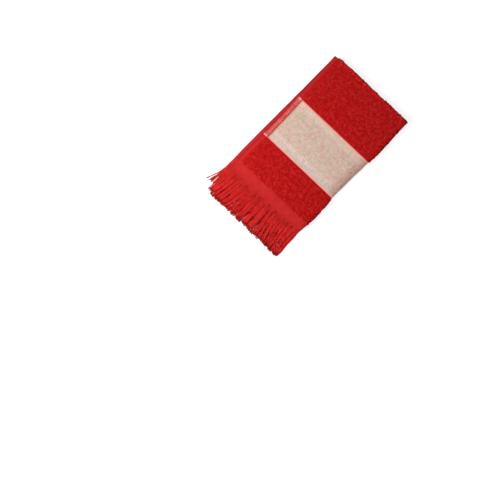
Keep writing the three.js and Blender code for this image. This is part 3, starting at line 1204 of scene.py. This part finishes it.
@dataclass(frozen=True)
class WovenCloth:
    """Thin sheet of the towel's weave, which the pile stands on."""

    fold: FoldedCloth
    name: str = "towel_weave"
    node: str = "towel_cloth"
    under_pile: float = 0.8
    edge_round: float = 0.6
    edge_share: float = 0.45
    groove_at: float = 8.3
    groove_half: float = 1.1
    groove_share: float = 0.45
    groove_dip: float = 0.15
    ripple: float = 0.18
    end_share: float = 0.3
    end_run: tuple[float, float] = (4.5, 2.5)
    end_waves: tuple[tuple[float, float], ...] = ((3.1, 0.0), (4.7, 1.9))
    ripple_along: tuple[float, float] = (2.3, 7.1)
    ripple_across: tuple[float, float] = (11.0, 5.3)
    coarse_from: float = 18.0
    finishes: tuple[Finish, ...] = (
        GroundFinish("terry_ground"),
        CanvasFinish("band_canvas", relief=0.22, sheen=0.15),
        FlatFinish("flat_weave", relief=0.12),
    )

    def thickness(self, along: Array, across: Array) -> Array:
        """Thickness of the sheet: thinner under pile, at its edges and in the band's grooves.

        Args:
            along: Places along the cloth.
            across: Places across it.

        Returns:
            Thicknesses in millimetres.
        """
        fold = self.fold
        from_edge = fold.from_edge(across)
        pile = fold.pile_along(along, fold.pile_edge) * fold.pile_across(from_edge)
        full = lerp(fold.ground, self.under_pile, pile)
        edge = lerp(self.edge_share, 1, np.sqrt(np.clip(from_edge / self.edge_round, 0, 1)))
        waves = [np.sin(across / length + phase) for length, phase in self.end_waves]
        run = self.end_run[0] + self.end_run[1] * sum(waves) / 2
        left = np.clip((fold.half_length - np.abs(along)) / run, 0, 1)
        edge = edge * lerp(self.end_share, 1, ramp(left, 0, 1))
        return full * edge * (1 - (1 - self.groove_share) * self.grooved(along, across))

    def grooved(self, along: Array, across: Array) -> Array:
        """Share of full depth of the grooves beside the band.

        Args:
            along: Places along the cloth.
            across: Places across it.

        Returns:
            Shares from 0 to 1.
        """
        fold = self.fold
        beside = (along > fold.band_start) & (along < fold.band_end)
        far = np.abs(fold.from_edge(across) - self.groove_at)
        return np.clip(1 - far / self.groove_half, 0, 1) * beside

    def rippled(self, along: Array, across: Array) -> Array:
        """Unevenness of the flat weave and its grooves along the normal.

        Args:
            along: Places along the cloth.
            across: Places across it.

        Returns:
            Heights in millimetres.
        """
        fold = self.fold
        bare = 1 - fold.pile_along(along, fold.pile_edge) * fold.pile_across(fold.from_edge(across))
        first = np.sin(along / self.ripple_along[0] + across / self.ripple_along[1])
        second = np.sin(across / self.ripple_across[1] - along / self.ripple_across[0])
        relief = self.ripple * bare * (first * second)
        return relief - self.groove_dip * self.grooved(along, across)

    def along_places(self) -> Array:
        """Rows of the net, finer at the end fold, the band's edges and the headers.

        Returns:
            Places along the cloth, in millimetres.
        """
        fold = self.fold
        header = fold.header_start
        start = ((0, 0.3), (fold.end_radius * math.pi / 2, 1.5))
        finish = ((header - 3, 0.8), (header + 5, 1.3), (fold.half_length, 0))
        band = (
            (fold.band_start - 3, 0.8),
            (fold.band_start + 5, 1.8),
            (fold.band_end - 5, 0.8),
            (fold.band_end + 3, 4.5),
        )
        banded = net_places(*start, (self.coarse_from, 4.5), *band, *finish)
        plain = net_places(*start, (self.coarse_from, 5.0), *finish)
        return np.concatenate([-plain[:0:-1], banded])

    def across_places(self) -> Array:
        """Columns of the net, finer at the selvedges and the lengthwise fold.

        Returns:
            Places across the cloth, in millimetres.
        """
        fold = self.fold
        middle = fold.width / 2
        pile = fold.selvedge + fold.pile_edge
        half = net_places(
            (0, 0.2),
            (self.edge_round, 1.2),
            (fold.selvedge, 0.45),
            (pile, 4.2),
            (middle - 12, 0.7),
            (middle, 0),
        )
        return np.concatenate([half, fold.width - half[-2::-1]])

    def weave_of(self, along: Array, across: Array) -> Array:
        """Number of the material at places of the cloth.

        Args:
            along: Places along the cloth.
            across: Places across it.

        Returns:
            Values of Weave.
        """
        fold = self.fold
        from_edge = fold.from_edge(across)
        banded = (along > fold.band_start) & (along < fold.band_end)
        canvas = banded & (from_edge > self.groove_at)
        flat = (np.abs(along) > fold.header_start) | (from_edge < fold.selvedge) | banded
        red = np.where(flat, Weave.FLAT.value, Weave.TERRY.value)
        return np.where(canvas, Weave.CANVAS.value, red)

    def build(self) -> bpy.types.Object:
        """Makes the sheet with its map of flat places and its three weaves.

        Returns:
            The sheet.
        """
        rows, columns = self.along_places(), self.across_places()
        along, across = np.meshgrid(rows, columns, indexing="ij")
        normal = self.fold.normal(along, across)
        middle = self.fold.point(along, across) + normal * self.rippled(along, across)[..., None]
        half = normal * self.thickness(along, across)[..., None] / 2
        points = np.concatenate([(middle + half).reshape(-1, 3), (middle - half).reshape(-1, 3)])
        points[:, 2] = np.maximum(points[:, 2], 0)
        count = along.size
        outside = grid_faces(len(rows), len(columns))
        inside = outside[:, ::-1] + count
        faces = np.concatenate([outside, inside, self.rims(len(rows), len(columns), count)])
        made = place_mesh(self.name, points, [], faces.tolist())
        flat = np.stack([np.tile(across.ravel(), 2), np.tile(along.ravel(), 2)], axis=-1)
        layer = made.data.uv_layers.new(name=FLAT_MAP)
        layer.data.foreach_set("uv", flat[faces.ravel()].astype(np.float32).ravel())
        centre = flat[faces].mean(axis=1)
        for finish in self.finishes:
            made.data.materials.append(finish.build())
        weave = self.weave_of(centre[:, 1], centre[:, 0]).astype(np.int32)
        made.data.polygons.foreach_set("material_index", weave)
        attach(made, BODY)
        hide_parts(self.node)
        return made

    @staticmethod
    def rims(rows: int, columns: int, count: int) -> Array:
        """Faces that close the sheet at its four edges.

        Args:
            rows: Rows of the net.
            columns: Columns of the net.
            count: Points on one side of the sheet.

        Returns:
            One row of four point numbers for each face.
        """
        net = np.arange(count).reshape(rows, columns)

        def edge(first: Array, second: Array) -> Array:
            """Faces between the two sides of the sheet along one edge."""
            return np.stack([first, first + count, second + count, second], axis=-1)

        return np.concatenate(
            [
                edge(net[:-1, 0], net[1:, 0]),
                edge(net[1:, -1], net[:-1, -1]),
                edge(net[0, 1:], net[0, :-1]),
                edge(net[-1, :-1], net[-1, 1:]),
            ]
        )


@dataclass(frozen=True)
class PilePatch:
    """Stretch of terry whose loops make one piece."""

    name: str
    along: tuple[float, float]
    across: tuple[float, float]
    spacing: float
    sizes: tuple[float, float] = (0.75, 1.3)
    points: int = 6
    seed: int = 1


@dataclass(frozen=True)
class TerryPile:
    """Looped pile on the towel's outer side."""

    fold: FoldedCloth
    ground: float = 0.8
    yarn: float = 0.33
    loop: float = 0.78
    sunk: float = 0.2
    lean: float = 2.6
    clump: float = 230.0
    net_step: float = 1.5
    # Loops on the steep sides of the folds get painted shade.
    finish: YarnFinish = YarnFinish("terry_loops", relief=0.08, side_shade_share=0.9)
    patches: tuple[PilePatch, ...] = (
        PilePatch("end_fold_loops", (-3.0, 4.0), (8.2, 160.0), 1.1, (0.7, 2.3), seed=5),
        PilePatch("end_terry_loops", (4.0, 43.0), (7.9, 160.0), 0.93, seed=11),
        PilePatch("upper_terry_loops", (43.0, 83.3), (7.9, 160.0), 0.93, seed=17),
        PilePatch("lower_terry_loops", (165.0, 216.8), (7.6, 160.0), 0.93, (0.55, 1.4), seed=23),
        PilePatch("upper_underside_loops", (-3.0, 83.9), (160.0, 292.0), 1.7, (0.7, 0.85), 5, 37),
        PilePatch("lower_underside_loops", (163.9, 216.8), (160.0, 292.0), 1.7, (0.7, 0.85), 5, 41),
    )

    def carrier(self, patch: PilePatch) -> bpy.types.Object:
        """Surface that a patch's loops stand on.

        Args:
            patch: Its stretch of cloth.

        Returns:
            Object with one side of the sheet.
        """
        step = self.net_step
        rows, columns = (
            net_places((start, step), (end, step)) for start, end in (patch.along, patch.across)
        )
        along, across = np.meshgrid(rows, columns, indexing="ij")
        lift = self.fold.normal(along, across) * self.ground / 2
        points = (self.fold.point(along, across) + lift).reshape(-1, 3)
        faces = grid_faces(len(rows), len(columns))
        return place_mesh(patch.name, points, [], faces.tolist())

    def build(self, tree: LoopTree) -> list[bpy.types.Object]:
        """Grows the loops of every patch.

        Args:
            tree: Tree that scatters the loops.

        Returns:
            One piece for each patch.
        """
        material = self.finish.build()
        made = []
        for patch in self.patches:
            values = {
                "Material": material,
                "Spacing": patch.spacing * MM,
                "Yarn radius": self.yarn * MM,
                "Loop radius": self.loop * MM,
                "Loop points": patch.points,
                "Sunk feet": self.sunk * MM,
                "Lean": self.lean,
                "Clump scale": self.clump,
                "Lowest size": patch.sizes[0],
                "Highest size": patch.sizes[1],
                "Seed": patch.seed,
            }
            piece = tree.apply(self.carrier(patch), values)
            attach(piece, BODY)
            made.append(piece)
        return made


@dataclass(frozen=True)
class LockRow:
    """Row of fringe locks on one layer, and the bundle of its selvedge's own threads."""

    locks: int
    length: float
    rest: float
    tip: float
    spread: float
    bundle: tuple[float, ...]
    bundle_length: float
    strands: int
    girth: float
    gather: float
    bunch: float


@dataclass(frozen=True)
class SweepRow:
    """Sideways sweep of the locks at one place across the folded towel."""

    at: float
    sweep: float


@dataclass(frozen=True)
class Lock:
    """One lock: where it leaves the cloth, and where its tip lies."""

    across: float
    pitch: float
    length: float
    rest: float
    tip: float
    spread: float
    strands: int
    girth: float
    seed: int = 0
    onset: float = 0.05
    bunch: float = 1.0
    pull: float = 0.0
    sweep: Optional[float] = None


@dataclass(frozen=True)
class Fringe:
    """Loose warp yarns at one end of the towel."""

    fold: FoldedCloth
    half: Half
    name: str
    node: str
    upper: LockRow
    under: LockRow
    fold_locks: int
    seed: int
    root: float = 2.3
    inside: float = 7.0
    inside_lift: float = 0.1
    lock_height: float = 0.9
    flatness: float = 0.3
    lock_taper: float = 0.6
    rest_share: float = 0.34
    drop_share: float = 0.66
    sweep_curve: float = 1.4
    pull_share: float = 0.45
    lane_spill: float = 0.6
    wander: float = 0.8
    wander_turn: float = 8.0
    ragged: float = 3.2
    yarn: float = 0.32
    wave: float = 0.45
    frizz: float = 2.0
    trimmed: float = 0.06
    tip_size: float = 0.85
    guide_steps: int = 16
    yarn_points: int = 16
    fold_strands: int = 14
    fold_girth: float = 0.6
    bundle_strands: int = 36
    bundle_girth: float = 0.6
    onset: float = 0.1
    group_smallest: int = 2
    group_range: float = 1.5
    overlength: float = 1.03
    # The fringe's tips get painted shadow; its root colour matches the header's red.
    finish: YarnFinish = YarnFinish(
        "fringe_yarn",
        relief=0.14,
        sheen=0.15,
        dark=srgb(190, 30, 29),
        light=srgb(222, 48, 46),
        root=srgb(190, 39, 39),
        root_reach=0.45,
        tip_shade_share=0.7,
        patch=120.0,
        patch_share=0.4,
    )
    sweeps: tuple[SweepRow, ...] = (
        SweepRow(0, -2),
        SweepRow(22, -7.5),
        SweepRow(45, -9.5),
        SweepRow(72, 0),
        SweepRow(100, 8),
        SweepRow(116, 9),
        SweepRow(132, 5),
        SweepRow(144, 0.5),
    )

    def row_locks(self, row: LockRow, flat: float, upper: bool) -> list[Lock]:
        """Locks of one layer, from its selvedge to the lengthwise fold.

        Args:
            row: Sizes of the row.
            flat: Cloth between the selvedge and the fold.
            upper: Whether the layer lies above the lengthwise fold's axis.

        Returns:
            The locks, with the selvedge's bundle first.
        """
        selvedge = self.fold.selvedge
        pitch = (flat - selvedge) / row.locks
        part = selvedge / len(row.bundle)
        strands, girth = self.bundle_strands // len(row.bundle), self.bundle_girth
        edge = Lock(
            part / 2, part, row.bundle_length, row.rest, row.tip, row.spread, strands, girth
        )
        locks = [
            replace(edge, across=edge.across + i * part, seed=i, sweep=sweep)
            for i, sweep in enumerate(row.bundle)
        ]
        for i, pull in enumerate(self.group_pulls(row, pitch)):
            seed = (i + 1) * row.locks
            lock = replace(
                edge,
                across=selvedge + (i + 0.5) * pitch,
                pitch=pitch,
                length=row.length + self.ragged * (scatter(seed, 0) - 1) / 2,
                seed=seed,
                strands=row.strands,
                onset=self.onset * (1 + scatter(seed, 2)),
                girth=row.girth,
                bunch=row.bunch,
                pull=pull,
            )
            locks.append(lock)
        if upper:
            return locks
        return [replace(lock, across=self.fold.width - lock.across) for lock in locks]

    def group_pulls(self, row: LockRow, pitch: float) -> list[float]:
        """How far each lock's tip is drawn towards the middle of its group of neighbours.

        Args:
            row: Sizes of the row.
            pitch: Distance between locks.

        Returns:
            Sideways moves in millimetres.
        """
        pulls: list[float] = []
        while len(pulls) < row.locks:
            roll = scatter(len(pulls) + 1, 3) + 1
            size = self.group_smallest + int(roll * self.group_range)
            pulls += [((size - 1) / 2 - i) * pitch * row.gather for i in range(size)]
        return pulls[: row.locks]

    def turning_locks(self, flat: float) -> list[Lock]:
        """Locks that leave the cloth where it turns round the lengthwise fold.

        Args:
            flat: Cloth between the selvedge and the fold.

        Returns:
            The locks, from the upper layer to the one below.
        """
        pitch = 2 * (self.fold.width / 2 - flat) / self.fold_locks
        locks = []
        for i in range(self.fold_locks):
            share = (i + 0.5) / self.fold_locks
            across, strands, girth = flat + (i + 0.5) * pitch, self.fold_strands, self.fold_girth
            length, rest, tip = (
                lerp(getattr(self.upper, size), getattr(self.under, size), share)
                for size in ("length", "rest", "tip")
            )
            length -= self.ragged / 2
            locks.append(Lock(across, pitch, length, rest, tip, 0, strands, girth, i, sweep=0))
        return locks

    def path(self, lock: Lock) -> tuple[Array, Array, Array]:
        """Guide line of one lock.

        Args:
            lock: The lock.

        Returns:
            Its points in millimetres, and the sideways and upward directions at each.
        """
        fold, sign = self.fold, self.half.value
        places = fold.half_length + np.array([-self.inside, -self.inside / 2, 0, self.root])
        lift = fold.normal(sign * places, np.full(4, lock.across)) * self.inside_lift
        first = fold.point(sign * places, lock.across) + lift
        root = sign * (fold.half_length + self.root)
        near, far = fold.point(root, lock.across - 0.5), fold.point(root, lock.across + 0.5)
        rim = unit(far - near)
        share = np.linspace(0, 1, self.guide_steps + 1)[1:]
        base = first[-1]
        phase = scatter(lock.seed, 1) * math.pi
        wander = self.wander * lock.bunch * share * np.sin(share * self.wander_turn + phase)
        swept = lock.sweep
        if swept is None:
            place = base[0] + fold.middle_across
            swept = lock.spread * between_rows(self.sweeps, "sweep", place)
        half = self.lock_height * lerp(1, self.lock_taper, share) / 2
        rest = lerp(base[2], lock.rest + half, ramp(share, 0, self.rest_share))
        drop = ramp(share, self.drop_share, 1 - self.drop_share)
        aside = swept * share**self.sweep_curve + lock.pull * ramp(share, 0, self.pull_share)
        tail = np.stack(
            [
                base[0] + aside + wander,
                base[1] - share * lock.length * self.overlength,
                lerp(rest, lock.tip + half, drop),
            ],
            axis=-1,
        )
        points = np.concatenate([first, tail])
        level = np.array([math.copysign(1.0, rim[0] or 1.0), 0.0, 0.0])
        turned = np.concatenate([np.zeros(4), ramp(share, 0, self.rest_share)])[:, None]
        side = unit(lerp(rim, level, turned))
        ahead = unit(np.gradient(points, axis=0))
        up = unit(np.cross(side, ahead))
        up = up * np.where(up[:, 2:] < 0, -1, 1)
        return points, side, up

    def build(self, tree: YarnTree) -> bpy.types.Object:
        """Grows the yarns of every lock.

        Args:
            tree: Tree that grows yarns round guides.

        Returns:
            The fringe as one piece.
        """
        end = self.half.value * (self.fold.half_length + self.root)
        flat = float(self.fold.layer(np.array([end])).flat[0])
        locks = [
            *self.row_locks(self.upper, flat, True),
            *self.turning_locks(flat),
            *self.row_locks(self.under, flat, False),
        ]
        slim = self.lock_height * self.flatness
        guides = [
            Guide(
                *self.path(lock),
                pitch=lock.pitch * (1 + (1 - lock.bunch) * self.lane_spill),
                strands=lock.strands,
                onset=lock.onset,
                girth=lock.pitch * lock.girth,
                depth=slim,
                bunch=lock.bunch,
                tone=0.5 + 0.5 * scatter(lock.seed, 5),
            )
            for lock in locks
        ]
        made = guide_piece(self.name, guides)
        values = {
            "Material": self.finish.build(),
            "Yarn radius": self.yarn * MM,
            "Yarn points": self.yarn_points,
            "Wave": self.wave * MM,
            "Frizz": self.frizz * MM,
            "Ragged": self.trimmed,
            "Tip size": self.tip_size,
            "Seed": self.seed,
        }
        tree.apply(made, values)
        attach(made, BODY)
        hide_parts(self.node)
        return made


@dataclass(frozen=True)
class Guide:
    """Line that yarns follow, with the width they leave from and gather to, in millimetres."""

    points: Array
    side: Array
    up: Array
    pitch: float
    strands: int = 1
    onset: float = 2.0
    girth: float = 0.0
    depth: float = 0.0
    bunch: float = 1.0
    tone: float = 0.5


def guide_piece(name: str, guides: Sequence[Guide]) -> bpy.types.Object:
    """Object whose edges are the guides, with what the yarn tree reads from them.

    Args:
        name: The object's name.
        guides: The guide lines.

    Returns:
        The object.
    """
    edges, start = [], 0
    for guide in guides:
        count = len(guide.points)
        edges += [(start + i, start + i + 1) for i in range(count - 1)]
        start += count
    made = place_mesh(name, np.concatenate([guide.points for guide in guides]), edges, [])
    add_trait(made, "side", np.concatenate([guide.side for guide in guides]))
    add_trait(made, "up", np.concatenate([guide.up for guide in guides]))
    lengths, numbers = ("pitch", "girth", "depth"), ("strands", "onset", "bunch", "tone")
    for trait, scale in [(name, MM) for name in lengths] + [(name, 1) for name in numbers]:
        values = [np.full(len(guide.points), getattr(guide, trait) * scale) for guide in guides]
        add_trait(made, trait, np.concatenate(values))
    return made


@dataclass(frozen=True)
class BandEdging:
    """Cream weft that crosses the selvedges beside the band and turns back at its edge."""

    fold: FoldedCloth
    cross_from: tuple[float, float, float] = (2.1, 0.9, 0.1)
    cross_to: float = 7.2
    pitch: float = 1.3
    yarn: float = 0.26
    turn_in: float = 9.4
    turn_out: float = 10.9
    turn_pitch: float = 1.05
    lift: float = 0.62
    bar: float = 2.4
    inset: float = 0.6
    first_seed: int = 70
    cross_finish: YarnFinish = YarnFinish(
        "cross_weft",
        relief=0.1,
        dark=srgb(206, 74, 70),
        light=srgb(255, 158, 150),
        root=srgb(206, 60, 58),
        root_reach=0.6,
        patch=190.0,
        patch_share=0.8,
    )
    bar_finish: YarnFinish = YarnFinish(
        "bar_weft",
        relief=0.1,
        dark=srgb(240, 150, 142),
        light=srgb(250, 178, 168),
        root=srgb(244, 150, 142),
        patch_share=0.5,
    )
    turn_finish: YarnFinish = YarnFinish(
        "turning_weft",
        relief=0.1,
        dark=srgb(226, 160, 146),
        light=srgb(242, 196, 182),
        root=srgb(232, 170, 156),
        patch_share=0.5,
    )

    def guide(self, along: Array, across: Array) -> Guide:
        """Line on the cloth's outer side through places of the cloth.

        Args:
            along: Places along the cloth.
            across: Places across it.

        Returns:
            The line as a guide without width.
        """
        normal = self.fold.normal(along, across)
        points = self.fold.point(along, across) + normal * self.lift
        side = unit(np.cross(normal, unit(np.gradient(points, axis=0))))
        return Guide(points, side, normal, 0.0)

    def crossings(self, places: Array) -> list[Guide]:
        """Wefts that cross both selvedges at places along the cloth.

        Args:
            places: Places along the cloth.

        Returns:
            Two guides for each place.
        """
        guides = []
        ends = self.fold.band_start, self.fold.band_end
        for place in places:
            start = np.interp(place, (ends[0], sum(ends) / 2, ends[1]), self.cross_from)
            across = np.linspace(start, self.cross_to, 6)
            for line in (across, self.fold.width - across):
                guides.append(self.guide(np.full(len(line), place), line))
        return guides

    def turns(self) -> list[Guide]:
        """Wefts that run back and forth over the groove at the band's two sides.

        Returns:
            A guide for each side.
        """
        start, end = self.fold.band_start + self.inset, self.fold.band_end - self.inset
        count = int((end - start) / self.turn_pitch)
        along = np.linspace(start, end, count)
        across = np.where(np.arange(count) % 2 == 0, self.turn_in, self.turn_out)
        return [self.guide(along, across), self.guide(along, self.fold.width - across)]

    def build(self, tree: YarnTree) -> list[bpy.types.Object]:
        """Lays the crossing wefts, the bright bars at the band's ends and the turning weft.

        Args:
            tree: Tree that sweeps yarns along guides.

        Returns:
            The three pieces.
        """
        start, end = self.fold.band_start, self.fold.band_end
        places = np.arange(start + self.bar + self.inset, end - self.bar - 0.4, self.pitch)
        step = self.yarn * 2
        bars = np.concatenate(
            [np.arange(start + 0.3, start + self.bar, step), np.arange(end - self.bar, end, step)]
        )
        kinds = (
            ("selvedge_cross_wefts", self.crossings(places), self.cross_finish, 6),
            ("band_end_bars", self.crossings(bars), self.bar_finish, 6),
            ("band_edge_turns", self.turns(), self.turn_finish, 300),
        )
        made = []
        for number, (name, guides, finish, points) in enumerate(kinds):
            values = {
                "Material": finish.build(),
                "Yarn radius": self.yarn * MM,
                "Yarn points": points,
                "Tip size": 1.0,
                "Seed": self.first_seed + number,
            }
            piece = tree.apply(guide_piece(name, guides), values)
            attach(piece, BODY)
            made.append(piece)
        return made


@dataclass(frozen=True)
class SoftBox:
    """Square studio light that faces the towel."""

    name: str
    place: tuple[float, float, float]
    size: float
    power: float
    target: tuple[float, float, float] = (0.0, 0.0, 0.0)

    def build(self) -> None:
        """Adds the light to the scene."""
        data = bpy.data.lights.new(self.name, "AREA")
        data.shape = "SQUARE"
        data.size = self.size
        data.energy = self.power
        made = bpy.data.objects.new(self.name, data)
        bpy.context.scene.collection.objects.link(made)
        made.location = self.place
        away = made.location - made.location.__class__(self.target)
        made.rotation_euler = away.to_track_quat("Z", "Y").to_euler()


@dataclass(frozen=True)
class Studio:
    """Pale floor, soft light and a camera that looks straight down."""

    view_width: float = 0.7576
    view_level: float = 0.012
    camera_height: float = 2.5
    camera_place: tuple[float, float] = (0.04016, -0.16158)
    camera_turn: float = 43.5
    sensor: float = 36.0
    floor_half: float = 8.0
    floor_drop: float = 0.0003
    ambient: float = 0.36
    # The floor glows as well as reflecting. This lightens the shadows that fall on it and adds
    # light from below.
    finish: FloorFinish = FloorFinish("pale_floor", sheen=0.0, glow=0.7)
    lights: tuple[SoftBox, ...] = (
        SoftBox("key_light", (-0.38, -0.36, 0.44), 0.42, 5.0),
        SoftBox("top_light", (0.3, 0.2, 3.2), 2.4, 14.0),
    )

    def build(self) -> None:
        """Sets up floor, lights, camera and plain colour handling."""
        half = self.floor_half / MM
        level = -self.floor_drop / MM
        corners = [(-half, -half, level), (half, -half, level), (half, half, level)]
        floor = place_mesh(FLOOR_NAME, np.array([*corners, (-half, half, level)]), [], [range(4)])
        floor.data.materials.append(self.finish.build())
        for light in self.lights:
            light.build()
        scene = bpy.context.scene
        scene.world = bpy.data.worlds.new("studio_air")
        scene.world.use_nodes = True
        air = scene.world.node_tree.nodes["Background"]
        air.inputs["Color"].default_value = (1.0, 1.0, 1.0, 1.0)
        air.inputs["Strength"].default_value = self.ambient
        scene.view_settings.view_transform = "Standard"
        data = bpy.data.cameras.new("camera")
        data.sensor_width = self.sensor
        data.lens = self.sensor * (self.camera_height - self.view_level) / self.view_width
        camera = bpy.data.objects.new("camera", data)
        scene.collection.objects.link(camera)
        camera.location = (*self.camera_place, self.camera_height)
        camera.rotation_euler = (0.0, 0.0, math.radians(self.camera_turn))
        scene.camera = camera


def report(piece: bpy.types.Object) -> None:
    """Logs a piece's name and its number of triangles."""
    triangles = sum(len(face.vertices) - 2 for face in piece.data.polygons)
    LOG.info("%s: %d triangles", piece.name, triangles)


def main() -> None:
    """Builds the studio and every piece of the towel, and logs each piece's triangles."""
    logging.basicConfig(level=logging.INFO, format="%(message)s")
    LOG.info("packed nodes: %s", ", ".join(sorted(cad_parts)))
    Studio().build()
    fold = FoldedCloth()
    weave = WovenCloth(fold).build()
    pile = TerryPile(fold).build(LoopTree())
    yarns = YarnTree()
    fringes = [
        Fringe(
            fold,
            Half.BAND,
            "band_end_yarns",
            "band_end_fringe",
            LockRow(54, 49, 3.6, 1.4, 1, (-3, -2, -1), 46, 9, 0.4, 0.42, 1),
            LockRow(40, 49.5, 0, 0, 0.5, (-2, -1), 44, 22, 0.8, 0, 0.12),
            fold_locks=4,
            seed=51,
        ),
        Fringe(
            fold,
            Half.PLAIN,
            "plain_end_yarns",
            "plain_end_fringe",
            LockRow(40, 33, 2.8, 2.8, 0.8, (-10, -7.5, -5, -2.5), 35, 10, 0.5, 0.2, 0.5),
            LockRow(32, 31, 1.4, 1.4, 0.6, (-6, -3), 33, 9, 0.6, 0, 0.2),
            fold_locks=2,
            seed=57,
        ),
    ]
    others = [*pile, *(fringe.build(yarns) for fringe in fringes)]
    others += BandEdging(fold).build(yarns)
    for piece in [weave, *others]:
        report(piece)


if __name__ == "__main__":
    main()
